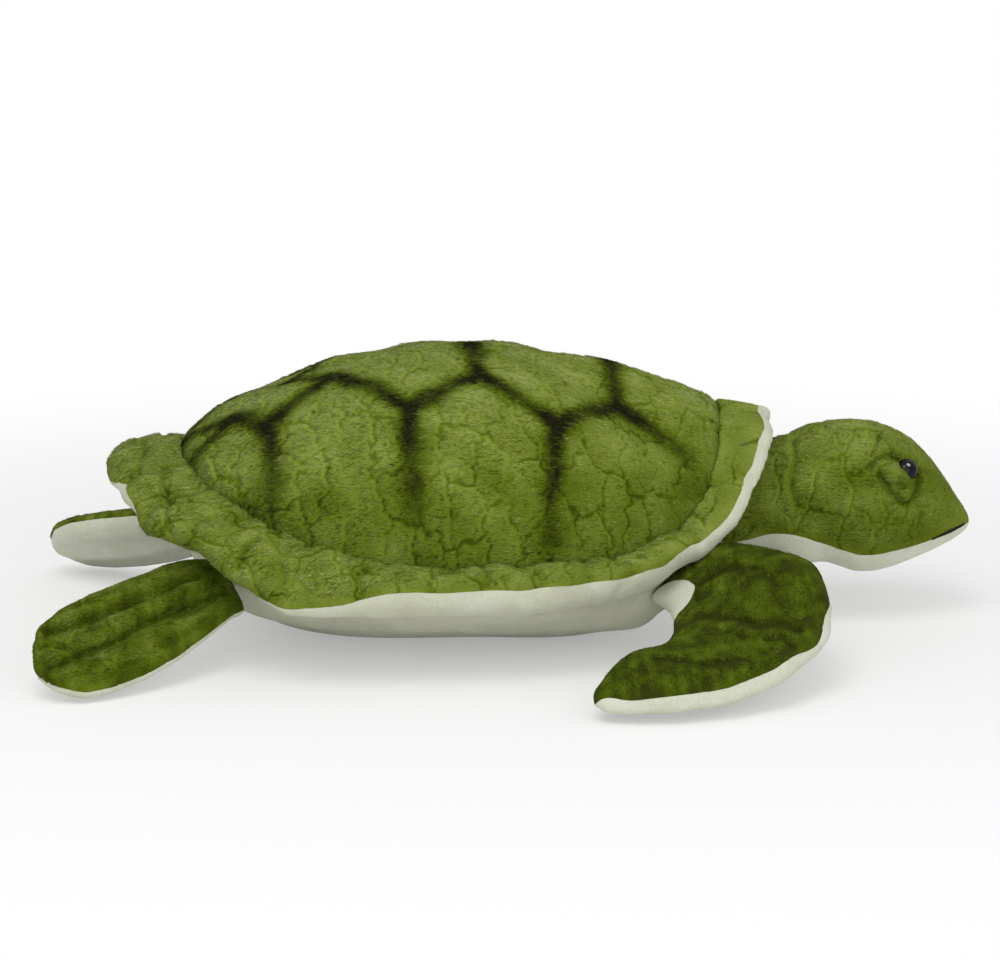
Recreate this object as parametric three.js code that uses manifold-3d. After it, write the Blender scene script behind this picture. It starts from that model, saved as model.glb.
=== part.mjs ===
// Plush sea turtle: a stuffed shell with a soft brim, a head on a short neck and four flippers.
// Millimetres, +X to the nose, +Z up, -Y is its right side. The origin is the middle of the
// flat patch of the belly that it rests on.

import * as THREE from 'three';
import { mergeVertices } from 'three/addons/utils/BufferGeometryUtils.js';
import Module from 'manifold-3d';

const wasm = await Module();
wasm.setup();

// Fabric and sewing
const coverThickness = 4;
const seamGap = 0.3;
const restCut = 0.5;
const overrun = 3;

// Shell, on its base line, where the dome is sewn to the brim
const domeLength = 347;
const domeWidth = 276;
const domeTop = 184;
const domeShift = -3.5;
const crownShift = 15;
const baseHeight = 74;
const rearRise = 47;
const sideWall = 31;
const frontWall = 15;
const rearWall = 24;
const neckArchAngle = THREE.MathUtils.degToRad(27);
const neckArchGap = 12.5;

// Brim, measured outwards from the base line. It hangs lower in a fold ahead of each rear flipper.
const brimSideReach = 20;
const brimFrontReach = 34;
const brimRearReach = 46;
const brimFoldDrop = 20;
const brimFoldAngle = THREE.MathUtils.degToRad(121);
const brimFoldSpread = THREE.MathUtils.degToRad(12);

// Head and neck, measured from the neck's seam with the body, which is just ahead of the shell
const neckAhead = 2;
const neckX = domeShift + domeLength / 2 + neckAhead;
const neckHeight = 82.5;
const neckRadius = 35;
const headLength = 158;
const headHeight = 100;
const headWidth = 86;
const neckClearance = 0.8;

// The base line rises over the neck
const frontRise = neckHeight + neckRadius + neckArchGap + frontWall - baseHeight;

// Eyes: a domed button with a shank, and the washer that locks it inside the head
const eyeRadius = 7;
const eyeBulge = 4.5;
const eyeSeat = 0.2;
const eyeFromNose = 43;
const eyeAngle = THREE.MathUtils.degToRad(35.4);
const shankRadius = 2;
const shankLength = 11;
const shankClearance = 0.35;
const washerRadius = 7.5;
const washerThickness = 1.4;
const washerDepth = 5.6;

// Mouth: one line of thick thread
const threadRadius = 0.8;
const mouthLength = 26;

// Front flippers, measured from the middle of the seam at their root. It lies behind the front end
// of the base line, inside its widest line and below it.
const frontRootBack = 31;
const frontRootInset = 39.5;
const frontRootDrop = 26.5;
const frontFlipperReach = 120;
const frontFlipperLength = 140;
const frontFlipperThickness = 30;

// Rear flippers
const rearRootAhead = 25.2;
const rearRootInset = 50.5;
const rearRootDrop = 32;
const rearFlipperLength = 133;
const rearFlipperWidth = 78;
const rearFlipperThickness = 28;

// How finely the soft forms are cut
const aroundCount = 36;
const brimArcSteps = 4;
const limbArcSteps = 8;
const headArcSteps = 12;
const ballSides = 24;
const buttonSides = 20;
const threadSteps = 24;
const threadSides = 8;

// Shapes as shares of the sizes above. Squareness is a superellipse exponent.
const shellSquareness = 2.2;
const domeFrontShares = { across: 1.7, up: 1.15 };
const domeRearShares = { across: 1.9, up: 1.3 };
const domeSideShares = { across: 2, up: 2 };
const bowlFrontShares = { across: 3.2, up: 3.2 };
const bowlRearShares = { across: 3, up: 3 };
const bowlSideShares = { across: 1.85, up: 1.15 };
const brimCrownShares = { across: 2.4, up: 1.9 };
const domeStepShares = [0.16, 0.33, 0.5, 0.67, 0.84];
const bowlStepShares = [0.22, 0.42, 0.62, 0.8, 0.945];

// Head sections: place along the head, top, underside, half width and colour seam.
// Heights are counted from the neck's middle in shares of headHeight.
const neckHeightShare = neckRadius / headHeight;
const neckWidthShare = neckRadius / headWidth;
const headShares = [
  [0, neckHeightShare, -neckHeightShare, neckWidthShare, -0.22],
  [0.18, neckHeightShare, -neckHeightShare, neckWidthShare, -0.24],
  [0.28, 0.4, -0.365, 0.44, -0.27],
  [0.36, 0.46, -0.385, 0.465, -0.3],
  [0.445, 0.48, -0.45, 0.49, -0.32],
  [0.53, 0.485, -0.505, 0.5, -0.325],
  [0.615, 0.47, -0.515, 0.49, -0.32],
  [0.7, 0.425, -0.485, 0.455, -0.305],
  [0.775, 0.35, -0.44, 0.4, -0.285],
  [0.855, 0.22, -0.39, 0.315, -0.255],
  [0.93, 0.05, -0.33, 0.2, -0.215],
  [0.985, -0.12, -0.26, 0.09, -0.19],
];
const noseTipShare = -0.19;

// The mouth's thread: places from its start to the nose, and how far it leans forwards there
const mouthPlaceShares = [0, 0.35, 0.65, 0.9];
const mouthSlopeShares = [0, 0.3, 0.8, 1];

// Front flipper: front edge, back edge (reach out, sweep forward) and half thickness
const frontFlipperShares = [
  [0, 0.32, 0, -0.2, 0.4],
  [0.24, 0.36, 0.09, -0.22, 0.46],
  [0.5, 0.33, 0.19, -0.28, 0.5],
  [0.76, 0.19, 0.28, -0.36, 0.5],
  [0.94, -0.04, 0.34, -0.46, 0.46],
  [1, -0.29, 0.37, -0.6, 0.4],
  [0.95, -0.55, 0.38, -0.74, 0.34],
  [0.83, -0.78, 0.4, -0.86, 0.27],
  [0.7, -0.92, 0.44, -0.95, 0.2],
  [0.59, -1, 0.5, -1, 0.13],
];

// Rear flipper: place along its length, upper edge, lower edge and half thickness
const rearFlipperShares = [
  [0, 0.33, -0.2, 0.42],
  [0.17, 0.43, -0.3, 0.46],
  [0.36, 0.47, -0.4, 0.5],
  [0.55, 0.46, -0.46, 0.5],
  [0.73, 0.42, -0.47, 0.46],
  [0.87, 0.31, -0.43, 0.38],
  [0.955, 0.13, -0.31, 0.26],
  [1, -0.02, -0.17, 0.14],
];
const channelShares = [-0.36, 0.34];
const channelDepthShare = 0.34;
const channelWidthShare = 0.13;

// Turns about a hinge line at which the rounded root of a neck or flipper has its rings
const coverTurns = [1, 0.5];
const openTurns = [1.4];
const coreTurns = [1.2, 0.8, 0.4];
const tipPull = 0.35;
const eyeTurn = 0.1;
const eyeDomeShares = [0, 0.25, 0.5, 0.75, 1];

// The right limbs: the middle of the seam at their root, outwards along the limb, along the seam
const frontRoot = new THREE.Vector3(
  domeShift + domeLength / 2 - frontRootBack,
  frontRootInset - domeWidth / 2,
  baseHeight - frontRootDrop,
);
const rearRoot = new THREE.Vector3(
  domeShift - domeLength / 2 + rearRootAhead,
  rearRootInset - domeWidth / 2,
  baseHeight - rearRootDrop,
);
const frontOut = new THREE.Vector3(0.61, -0.769, -0.15);
const frontSeam = new THREE.Vector3(0.8, 0.57, 0.225);
const rearOut = new THREE.Vector3(-0.85, -0.49, -0.16);
const rearSeam = new THREE.Vector3(-0.49, 0.66, 0.56);

// Colours of the cloth, thread and plastic
const green = { color: 0x5f7d2c, roughness: 0.95, metalness: 0 };
const white = { color: 0xeeeedd, roughness: 0.95, metalness: 0 };
const filling = { color: 0xf6f6f2, roughness: 1, metalness: 0 };
const thread = { color: 0x2b2417, roughness: 0.8, metalness: 0 };
const blackPlastic = { color: 0x0b0b0d, roughness: 0.08, metalness: 0 };
const greyPlastic = { color: 0xb8bab8, roughness: 0.5, metalness: 0 };

const turtle = new THREE.Group();

function addPart(name, geometry, finish) {
  const mesh = new THREE.Mesh(geometry, new THREE.MeshStandardMaterial(finish));
  mesh.name = name;
  turtle.add(mesh);
}

// A closed solid from points and triangles, turned right side out
function closedSolid(points, faces) {
  const geometry = new THREE.BufferGeometry();
  const numbers = points.flatMap((point) => point.toArray());
  geometry.setAttribute('position', new THREE.Float32BufferAttribute(numbers, 3));
  let volume = 0;
  for (const [a, b, c] of faces) {
    volume += points[a].dot(points[b].clone().cross(points[c]));
  }
  geometry.setIndex(faces.flatMap(([a, b, c]) => (volume > 0 ? [a, b, c] : [a, c, b])));
  return geometry;
}

// Rings of points joined into a solid. Open ends close on a tip, or on the middle of the end ring.
// Past half way round, the quads are split along their other diagonal, so that both sides match.
function loft(rings, { joined = false, startTip = null, endTip = null } = {}) {
  const points = rings.flat();
  const count = rings[0].length;
  const faces = [];
  const spans = joined ? rings.length : rings.length - 1;
  for (let ring = 0; ring < spans; ring += 1) {
    const here = ring * count;
    const there = ((ring + 1) % rings.length) * count;
    for (let i = 0; i < count; i += 1) {
      const next = (i + 1) % count;
      const [a, b, c, d] = [here + i, here + next, there + next, there + i];
      const pastHalf = 2 * (joined ? ring : i) >= (joined ? spans : count);
      faces.push(...(pastHalf ? [[a, b, d], [b, c, d]] : [[a, b, c], [a, c, d]]));
    }
  }
  const closeEnd = (start, tip, ring, forwards) => {
    points.push(tip ?? middleOf(ring));
    const centre = points.length - 1;
    for (let i = 0; i < count; i += 1) {
      const next = (i + 1) % count;
      faces.push(forwards ? [start + i, start + next, centre] : [start + next, start + i, centre]);
    }
  };
  if (!joined) {
    closeEnd(0, startTip, rings[0], false);
    closeEnd((rings.length - 1) * count, endTip, rings.at(-1), true);
  }
  return closedSolid(points, faces);
}

function middleOf(ring) {
  const sum = new THREE.Vector3();
  ring.forEach((point) => sum.add(point));
  return sum.divideScalar(ring.length);
}

function toManifold(geometry) {
  const bare = geometry.clone();
  bare.deleteAttribute('normal');
  bare.deleteAttribute('uv');
  const merged = mergeVertices(bare);
  return new wasm.Manifold(new wasm.Mesh({
    numProp: 3,
    vertProperties: new Float32Array(merged.attributes.position.array),
    triVerts: new Uint32Array(merged.index.array),
  }));
}

function fromManifold(solid) {
  const mesh = solid.getMesh();
  const geometry = new THREE.BufferGeometry();
  geometry.setAttribute('position', new THREE.BufferAttribute(mesh.vertProperties, 3));
  geometry.setIndex(new THREE.BufferAttribute(mesh.triVerts, 1));
  return geometry;
}

function cut(geometry, ...tools) {
  const solid = tools.reduce((left, tool) => left.subtract(toManifold(tool)), toManifold(geometry));
  return fromManifold(solid);
}

const mix = THREE.MathUtils.lerp;
const signedPower = (value, power) => Math.sign(value) * Math.abs(value) ** power;

// Shell: how near a place on its base line is to the neck, the brim's fold and the tail
const fromFront = (theta) => Math.abs(Math.atan2(Math.sin(theta), Math.cos(theta)));

const nearNeck = (theta) => Math.exp(-((fromFront(theta) / neckArchAngle) ** 2));

const nearFold = (theta) => Math.exp(-(((fromFront(theta) - brimFoldAngle) / brimFoldSpread) ** 2));

const nearTail = (theta) => Math.max(0, -Math.cos(theta)) ** 2;

function baseLine(theta, outset = 0) {
  const power = 2 / shellSquareness;
  return new THREE.Vector3(
    domeShift + (domeLength / 2 + outset) * signedPower(Math.cos(theta), power),
    (domeWidth / 2 + outset) * signedPower(Math.sin(theta), power),
    baseHeight + frontRise * nearNeck(theta) + rearRise * nearTail(theta),
  );
}

function wallHeight(theta) {
  const endWall = Math.cos(theta) > 0 ? frontWall : rearWall;
  return mix(sideWall, endWall, Math.cos(theta) ** 2);
}

function crownShares(theta, side, end) {
  const share = Math.cos(theta) ** 2;
  return { across: mix(side.across, end.across, share), up: mix(side.up, end.up, share) };
}

// A point of the dome, at a share of the way from its base line to its crown
function domePoint(theta, share, inset) {
  const foot = baseLine(theta, -inset);
  const crown = new THREE.Vector3(crownShift, 0, domeTop - inset);
  const end = Math.cos(theta) > 0 ? domeFrontShares : domeRearShares;
  const { across, up } = crownShares(theta, domeSideShares, end);
  const out = Math.cos(share * Math.PI / 2) ** (2 / across);
  const rise = Math.sin(share * Math.PI / 2) ** (2 / up);
  return new THREE.Vector3(
    mix(crown.x, foot.x, out),
    mix(crown.y, foot.y, out),
    mix(foot.z, crown.z, rise),
  );
}

// A point of the belly, at a share of the way from the brim's underside to the belly's middle
function bowlPoint(theta, share, inset) {
  const foot = baseLine(theta, -inset);
  const top = foot.z - wallHeight(theta);
  const end = Math.cos(theta) > 0 ? bowlFrontShares : bowlRearShares;
  const { across, up } = crownShares(theta, bowlSideShares, end);
  const out = Math.cos(share * Math.PI / 2) ** (2 / across);
  const fall = Math.sin(share * Math.PI / 2) ** (2 / up);
  const height = mix(top, inset - restCut, fall);
  return new THREE.Vector3(foot.x * out, foot.y * out, Math.max(height, inset));
}

function ringAround(place) {
  return Array.from({ length: aroundCount }, (_, i) => place((i / aroundCount) * 2 * Math.PI));
}

function seamRing(inset, rise) {
  return ringAround((theta) => {
    const point = baseLine(theta, -inset);
    point.z += rise - wallHeight(theta) / 2;
    return point;
  });
}

function domeRings(inset, shares = domeStepShares) {
  return [0, ...shares].map((share) => ringAround((theta) => domePoint(theta, share, inset)));
}

function bowlRings(inset, shares = bowlStepShares) {
  return [0, ...shares].map((share) => ringAround((theta) => bowlPoint(theta, share, inset)));
}

const crownPoint = (inset) => new THREE.Vector3(crownShift, 0, domeTop - inset);
const bellyPoint = (inset) => new THREE.Vector3(0, 0, inset);

// A ball round the end of the neck: the opening that the neck is sewn into
function neckOpening() {
  const ball = new THREE.SphereGeometry(neckRadius + neckClearance, ballSides, ballSides / 2);
  ball.rotateX(Math.PI / 2);
  ball.translate(neckX, 0, neckHeight);
  return ball;
}

// Shell covers and their filling
function carapaceCover() {
  const outer = [seamRing(0, seamGap), ...domeRings(0)];
  const inner = [seamRing(coverThickness, seamGap), ...domeRings(coverThickness)];
  const rings = [...outer.reverse(), ...inner];
  return loft(rings, { startTip: crownPoint(0), endTip: crownPoint(coverThickness) });
}

function plastronCover() {
  const outer = [seamRing(0, -seamGap), ...bowlRings(0)];
  const inner = [seamRing(coverThickness, -seamGap), ...bowlRings(coverThickness)];
  const rings = [...inner.reverse(), ...outer];
  const shell = loft(rings, { startTip: bellyPoint(coverThickness), endTip: bellyPoint(0) });
  return cut(shell, neckOpening());
}

function bodyStuffing() {
  const inset = coverThickness + seamGap;
  const everyOther = (shares) => shares.filter((_, i) => i % 2 === 1);
  const bowl = bowlRings(inset, everyOther(bowlStepShares));
  const rings = [...bowl.reverse(), ...domeRings(inset, everyOther(domeStepShares))];
  const core = loft(rings, { startTip: bellyPoint(inset), endTip: crownPoint(inset) });
  return cut(core, neckOpening());
}

// Brim: a padded flap that runs round the shell, green above and white below
function brimFrame(theta) {
  const root = baseLine(theta, seamGap);
  const height = wallHeight(theta);
  root.z -= height / 2;
  const out = baseLine(theta, brimSideReach).sub(baseLine(theta)).setZ(0).normalize();
  const reach = brimSideReach
    + (brimFrontReach - brimSideReach) * nearNeck(theta)
    + (brimRearReach - brimSideReach) * Math.sqrt(nearTail(theta));
  const span = out.multiplyScalar(reach).setZ(-brimFoldDrop * nearFold(theta));
  return { root, span, height };
}

// One side of the brim's section, from the wall to the edge, for a skin of the given depth
function brimArc(theta, side, inset, steps) {
  const { root, span, height } = brimFrame(theta);
  const reach = span.length();
  const edge = (reach - inset) / reach;
  const { across, up } = brimCrownShares;
  return Array.from({ length: steps + 1 }, (_, i) => {
    const angle = (i / steps) * Math.PI / 2;
    const along = Math.sin(angle) ** (2 / across);
    const rise = Math.cos(angle) ** (2 / up);
    const point = root.clone().addScaledVector(span, along * edge);
    point.z += side * (seamGap + rise * (height / 2 - inset - seamGap));
    return point;
  });
}

function brimCover(side) {
  const rings = ringAround((theta) => {
    const outer = brimArc(theta, side, 0, brimArcSteps + 2);
    const inner = brimArc(theta, side, coverThickness, brimArcSteps);
    return side > 0 ? [...inner, ...outer.reverse()] : [...outer, ...inner.reverse()];
  });
  return loft(rings, { joined: true });
}

function brimStuffing() {
  const inset = coverThickness + seamGap;
  const rings = ringAround((theta) => {
    const above = brimArc(theta, 1, inset, brimArcSteps);
    const below = brimArc(theta, -1, inset, brimArcSteps).reverse();
    return [...above, ...below];
  });
  return loft(rings, { joined: true });
}

// Head: rings across the neck and head. Angle 0 is its left side and a quarter turn is its top.
function headStation(place) {
  const along = (place - neckX) / headLength;
  const last = headShares.findIndex(([share]) => share >= along);
  const after = headShares[last < 0 ? headShares.length - 1 : Math.max(last, 1)];
  const before = headShares[headShares.indexOf(after) - 1];
  const between = (along - before[0]) / (after[0] - before[0]);
  const [, top, underside, half, seam] = before.map((share, i) => mix(share, after[i], between));
  return {
    x: place,
    middle: neckHeight + headHeight * (top + underside) / 2,
    tall: headHeight * (top - underside) / 2,
    wide: headWidth * half,
    seam: neckHeight + headHeight * seam,
  };
}

// The neck ends in a ball about the hinge line of its seam, so that it can nod in its opening.
// An open end runs straight back instead, to cut the covers open there.
function neckStation(turn, inset, open) {
  const neck = headStation(neckX);
  const ball = Math.min(open ? neckRadius : neckRadius * Math.cos(turn), neckRadius - inset);
  return {
    ...neck,
    x: neckX - neckRadius * Math.sin(turn),
    tall: ball + inset,
    wide: ball + inset,
    seam: neckHeight + (neck.seam - neckHeight) * ball / neckRadius,
  };
}

function headPoint({ x, middle, tall, wide }, angle, inset) {
  const [across, up] = [(wide - inset) * Math.cos(angle), (tall - inset) * Math.sin(angle)];
  return new THREE.Vector3(x, across, middle + up);
}

function headStations(inset, ballTurns, open) {
  const places = headShares.map(([share]) => neckX + headLength * share);
  const nose = neckX + headLength - inset;
  const kept = places.filter((place) => place < nose - inset);
  const ball = ballTurns.map((turn) => neckStation(turn, inset, open));
  return [...ball, ...kept.map(headStation)];
}

const noseTip = (inset) => new THREE.Vector3(
  neckX + headLength - inset,
  0,
  neckHeight + headHeight * noseTipShare,
);

// Where the colour seam meets a ring, as an angle below the level of the ring's middle
function seamAngle({ middle, tall, seam }, inset, side) {
  const rise = THREE.MathUtils.clamp((seam + side * seamGap / 2 - middle) / (tall - inset), -1, 1);
  return -Math.asin(rise);
}

function headCover(side) {
  const stations = headStations(0, coverTurns);
  const steps = side > 0 ? headArcSteps : headArcSteps / 2;
  const rings = stations.map((station) => {
    const low = seamAngle(station, 0, side);
    const [from, to] = side > 0 ? [-low, Math.PI + low] : [Math.PI + low, 2 * Math.PI - low];
    const angles = Array.from({ length: steps + 1 }, (_, i) => mix(from, to, i / steps));
    return angles.map((angle) => headPoint(station, angle, 0));
  });
  const tip = noseTip(0);
  tip.z += side * seamGap / 2;
  return loft(rings, { endTip: tip });
}

function headCore(inset, ballTurns, open = false) {
  const count = headArcSteps + headArcSteps / 2;
  const rings = headStations(inset, ballTurns, open).map((station) => (
    Array.from({ length: count }, (_, i) => headPoint(station, (i / count) * 2 * Math.PI, inset))
  ));
  return loft(rings, { endTip: noseTip(inset) });
}

// Eyes: each on the head's side, square to the cloth
function eyeFrame(side) {
  const place = neckX + headLength - eyeFromNose;
  const station = headStation(place);
  const seat = headPoint(station, eyeAngle, 0);
  const ahead = headPoint(headStation(place + eyeRadius), eyeAngle, 0).sub(seat);
  const across = headPoint(station, eyeAngle + eyeTurn, 0).sub(seat);
  const out = across.cross(ahead).normalize();
  if (out.y < 0) out.negate();
  seat.y *= side;
  out.y *= side;
  return new THREE.Matrix4().compose(
    seat,
    new THREE.Quaternion().setFromUnitVectors(new THREE.Vector3(0, 1, 0), out),
    new THREE.Vector3(1, 1, 1),
  );
}

function turned(profile) {
  return new THREE.LatheGeometry(profile.map(([r, z]) => new THREE.Vector2(r, z)), buttonSides);
}

function eyeButton(side) {
  const dome = eyeDomeShares.map((share) => {
    const angle = (1 - share) * Math.PI / 2;
    return [eyeRadius * Math.cos(angle), seamGap + eyeSeat + eyeBulge * Math.sin(angle)];
  });
  const shank = [[shankRadius, seamGap + eyeSeat], [shankRadius, -shankLength], [0, -shankLength]];
  return turned([...dome, ...shank].reverse()).applyMatrix4(eyeFrame(side));
}

function eyeWasher(side) {
  const bore = shankRadius + shankClearance;
  const [top, bottom] = [-washerDepth, -washerDepth - washerThickness];
  const corners = [[bore, bottom], [washerRadius, bottom], [washerRadius, top], [bore, top]];
  return turned([...corners, corners[0]]).applyMatrix4(eyeFrame(side));
}

function roundCutter(side, radius, top, bottom) {
  return turned([[0, bottom], [radius, bottom], [radius, top], [0, top]]).applyMatrix4(eyeFrame(side));
}

const shankHole = (side) => roundCutter(side, shankRadius + shankClearance, eyeRadius, -shankLength);
const washerPocket = (side) => roundCutter(
  side,
  washerRadius + overrun / 2,
  eyeRadius,
  -shankLength - seamGap,
);

// Mouth: a thick thread that follows the colour seam round the nose, just clear of the cloth
function mouthStitch() {
  const lift = threadRadius + 2 * seamGap;
  const nose = noseTip(0).x;
  const side = mouthPlaceShares.map((share) => {
    const station = headStation(mix(nose - mouthLength, nose - threadRadius, share));
    const point = headPoint(station, -seamAngle(station, 0, 0), 0);
    const slope = mouthSlopeShares[mouthPlaceShares.indexOf(share)];
    return point.add(new THREE.Vector3(lift * slope, lift, 0));
  });
  const front = noseTip(0).add(new THREE.Vector3(lift, 0, 0));
  const mirrored = side.map(({ x, y, z }) => new THREE.Vector3(x, -y, z)).reverse();
  const path = new THREE.CatmullRomCurve3([...side, front, ...mirrored], false, 'centripetal');
  const section = new THREE.Shape().absarc(0, 0, threadRadius, 0, 2 * Math.PI);
  return new THREE.ExtrudeGeometry(section, {
    steps: threadSteps,
    extrudePath: path,
    curveSegments: threadSides / 2,
    bevelEnabled: false,
  });
}

// Flippers: padded blades between two edges, in a frame at the middle of the seam at their root
function limbFrame(root, out, seam, side) {
  const [u, v] = [out.clone().normalize(), seam.clone()];
  v.addScaledVector(u, -v.dot(u)).normalize();
  const w = u.clone().cross(v);
  if (w.z < 0) w.negate();
  return (along, across, up) => {
    const point = root.clone();
    point.addScaledVector(u, along).addScaledVector(v, across).addScaledVector(w, up);
    point.y *= -side;
    return point;
  };
}

// The seam at the root is a hinge line, so the blade starts as a half round about it
function limbStations(stations, inset, rootTurns, open = false) {
  const root = stations[0];
  const kept = stations.map((station) => {
    const chord = new THREE.Vector2().subVectors(station.back, station.front);
    const step = chord.clone().setLength(Math.min(inset, chord.length() / 3));
    return {
      front: station.front.clone().add(step),
      back: station.back.clone().sub(step),
      half: Math.max(station.half - inset, seamGap),
    };
  });
  if (inset > 0) {
    const [before, tip] = kept.slice(-2);
    kept[kept.length - 1] = {
      front: tip.front.clone().lerp(before.front, tipPull),
      back: tip.back.clone().lerp(before.back, tipPull),
      half: mix(tip.half, before.half, tipPull),
    };
  }
  const rounded = rootTurns.map((turn) => {
    const back = new THREE.Vector2(-root.half * Math.sin(turn), 0);
    return {
      front: kept[0].front.clone().add(back),
      back: kept[0].back.clone().add(back),
      half: Math.min(open ? root.half : root.half * Math.cos(turn), root.half - inset),
    };
  });
  return [...rounded, ...kept];
}

function limbArc(station, frame, side, lift, channels) {
  return Array.from({ length: limbArcSteps + 1 }, (_, i) => {
    const across = Math.cos((i / limbArcSteps) * Math.PI);
    const spot = station.back.clone().lerp(station.front, (1 + across) / 2);
    const dip = channels.reduce((sum, place) => (
      sum + Math.exp(-(((across - place) / channelWidthShare) ** 2))
    ), 0);
    const crown = Math.sqrt(1 - across * across) * (1 - channelDepthShare * dip);
    return frame(spot.x, spot.y, side * (lift + Math.max(station.half - lift, 0) * crown));
  });
}

function limbCover(limb, side) {
  const rings = limbStations(limb.stations, 0, coverTurns).map((station) => (
    limbArc(station, limb.frame, side, seamGap / 2, limb.channels)
  ));
  return loft(rings);
}

function limbCore(limb, inset, rootTurns, open = false) {
  const rings = limbStations(limb.stations, inset, rootTurns, open).map((station) => [
    ...limbArc(station, limb.frame, 1, 0, limb.channels).slice(0, -1),
    ...limbArc(station, limb.frame, -1, 0, limb.channels).reverse().slice(0, -1),
  ]);
  return loft(rings);
}

function frontStations() {
  return frontFlipperShares.map(([frontOutShare, frontSweep, backOut, backSweep, half]) => ({
    front: new THREE.Vector2(frontOutShare * frontFlipperReach, frontSweep * frontFlipperLength),
    back: new THREE.Vector2(backOut * frontFlipperReach, backSweep * frontFlipperLength),
    half: half * frontFlipperThickness,
  }));
}

function rearStations() {
  return rearFlipperShares.map(([along, upper, lower, half]) => ({
    front: new THREE.Vector2(along * rearFlipperLength, upper * rearFlipperWidth),
    back: new THREE.Vector2(along * rearFlipperLength, lower * rearFlipperWidth),
    half: half * rearFlipperThickness,
  }));
}

addPart('carapace_cover', carapaceCover(), green);
addPart('plastron_cover', plastronCover(), white);
addPart('body_stuffing', bodyStuffing(), filling);
addPart('brim_top', brimCover(1), green);
addPart('brim_underside', brimCover(-1), white);
addPart('brim_stuffing', brimStuffing(), filling);

const sides = [['right', -1], ['left', 1]];
const holes = sides.map(([, side]) => shankHole(side));
const pockets = sides.map(([, side]) => washerPocket(side));
addPart('head_cover', cut(headCover(1), headCore(coverThickness, openTurns, true), ...holes), green);
addPart('chin_cover', cut(headCover(-1), headCore(coverThickness, openTurns, true)), white);
addPart('head_stuffing', cut(headCore(coverThickness + seamGap, coreTurns), ...pockets), filling);
addPart('mouth_stitch', mouthStitch(), thread);

for (const [hand, side] of sides) {
  addPart(`eye_${hand}`, eyeButton(side), blackPlastic);
  addPart(`eye_washer_${hand}`, eyeWasher(side), greyPlastic);
  const limbs = [
    ['front', frontRoot, frontOut, frontSeam, frontStations(), []],
    ['rear', rearRoot, rearOut, rearSeam, rearStations(), channelShares],
  ];
  for (const [end, root, out, seam, stations, channels] of limbs) {
    const limb = { frame: limbFrame(root, out, seam, side), stations, channels };
    const core = limbCore(limb, coverThickness, openTurns, true);
    const name = `${end}_flipper_${hand}`;
    addPart(`${name}_top`, cut(limbCover(limb, 1), core), green);
    addPart(`${name}_underside`, cut(limbCover(limb, -1), core), white);
    addPart(`${name}_stuffing`, limbCore(limb, coverThickness + seamGap, coreTurns), filling);
  }
}

export default turtle;
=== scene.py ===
import math

import bmesh
import bpy
import numpy as np
from mathutils import Matrix, Vector
from mathutils.bvhtree import BVHTree


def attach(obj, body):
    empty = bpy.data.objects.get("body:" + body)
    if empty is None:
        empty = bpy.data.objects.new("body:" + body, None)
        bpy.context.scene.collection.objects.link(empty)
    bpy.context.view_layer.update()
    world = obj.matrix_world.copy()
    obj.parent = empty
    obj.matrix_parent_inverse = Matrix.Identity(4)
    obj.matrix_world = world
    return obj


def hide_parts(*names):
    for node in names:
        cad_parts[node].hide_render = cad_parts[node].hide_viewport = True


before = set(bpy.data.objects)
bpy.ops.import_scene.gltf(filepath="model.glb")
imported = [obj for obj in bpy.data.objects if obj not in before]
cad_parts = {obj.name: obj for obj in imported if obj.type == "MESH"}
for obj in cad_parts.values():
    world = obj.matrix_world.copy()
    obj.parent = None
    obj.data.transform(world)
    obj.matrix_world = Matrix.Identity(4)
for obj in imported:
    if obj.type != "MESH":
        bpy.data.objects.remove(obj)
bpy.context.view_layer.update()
scene = bpy.context.scene
mm = 0.001

# Light, floor and camera

studio = {
    "azimuth": math.radians(-4.5),  # the camera stands a little to the tail's side
    "elevation": math.radians(13),
    "distance": 2.4,
    "target": (0.028, 0, 0.095),
    "lens": 135,
    "pixel": 0.64 * mm,  # at the target
    "middle": (500, 480),
    "skyStrength": 0.62,
    "floorRadius": 12,
    "floorColour": (0.93, 0.93, 0.93, 1),
    "floorGlow": (0.35, 1.0),  # how far the floor shows as plain white, near the toy and away from it
    "glowReach": (0.35, 0.85),
    "lamps": {  # name: place, power, size
        "key": ((-0.5, -1.3, 2.1), 22, 1.4),
        "fill": ((0.6, -2.2, 0.9), 12, 1.6),
        "catch": ((1.0, -0.42, 1.92), 50, 0.9),  # seen only in the eyes
    },
}


class Wire:  # an output socket, so that shader maths reads as plain sums
    def __init__(self, finish, socket):
        self.finish, self.socket = finish, socket

    def maths(self, operation, *others):
        return self.finish.add("ShaderNodeMath", {"operation": operation}, dict(enumerate((self, *others))))

    def __add__(self, other):
        return self.maths("ADD", other)

    def __mul__(self, other):
        return self.maths("MULTIPLY", other)

    def __sub__(self, other):
        return self.maths("SUBTRACT", other)

    def __rsub__(self, other):
        return self.maths("MULTIPLY", -1) + other

    __radd__ = __add__
    __rmul__ = __mul__


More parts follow.
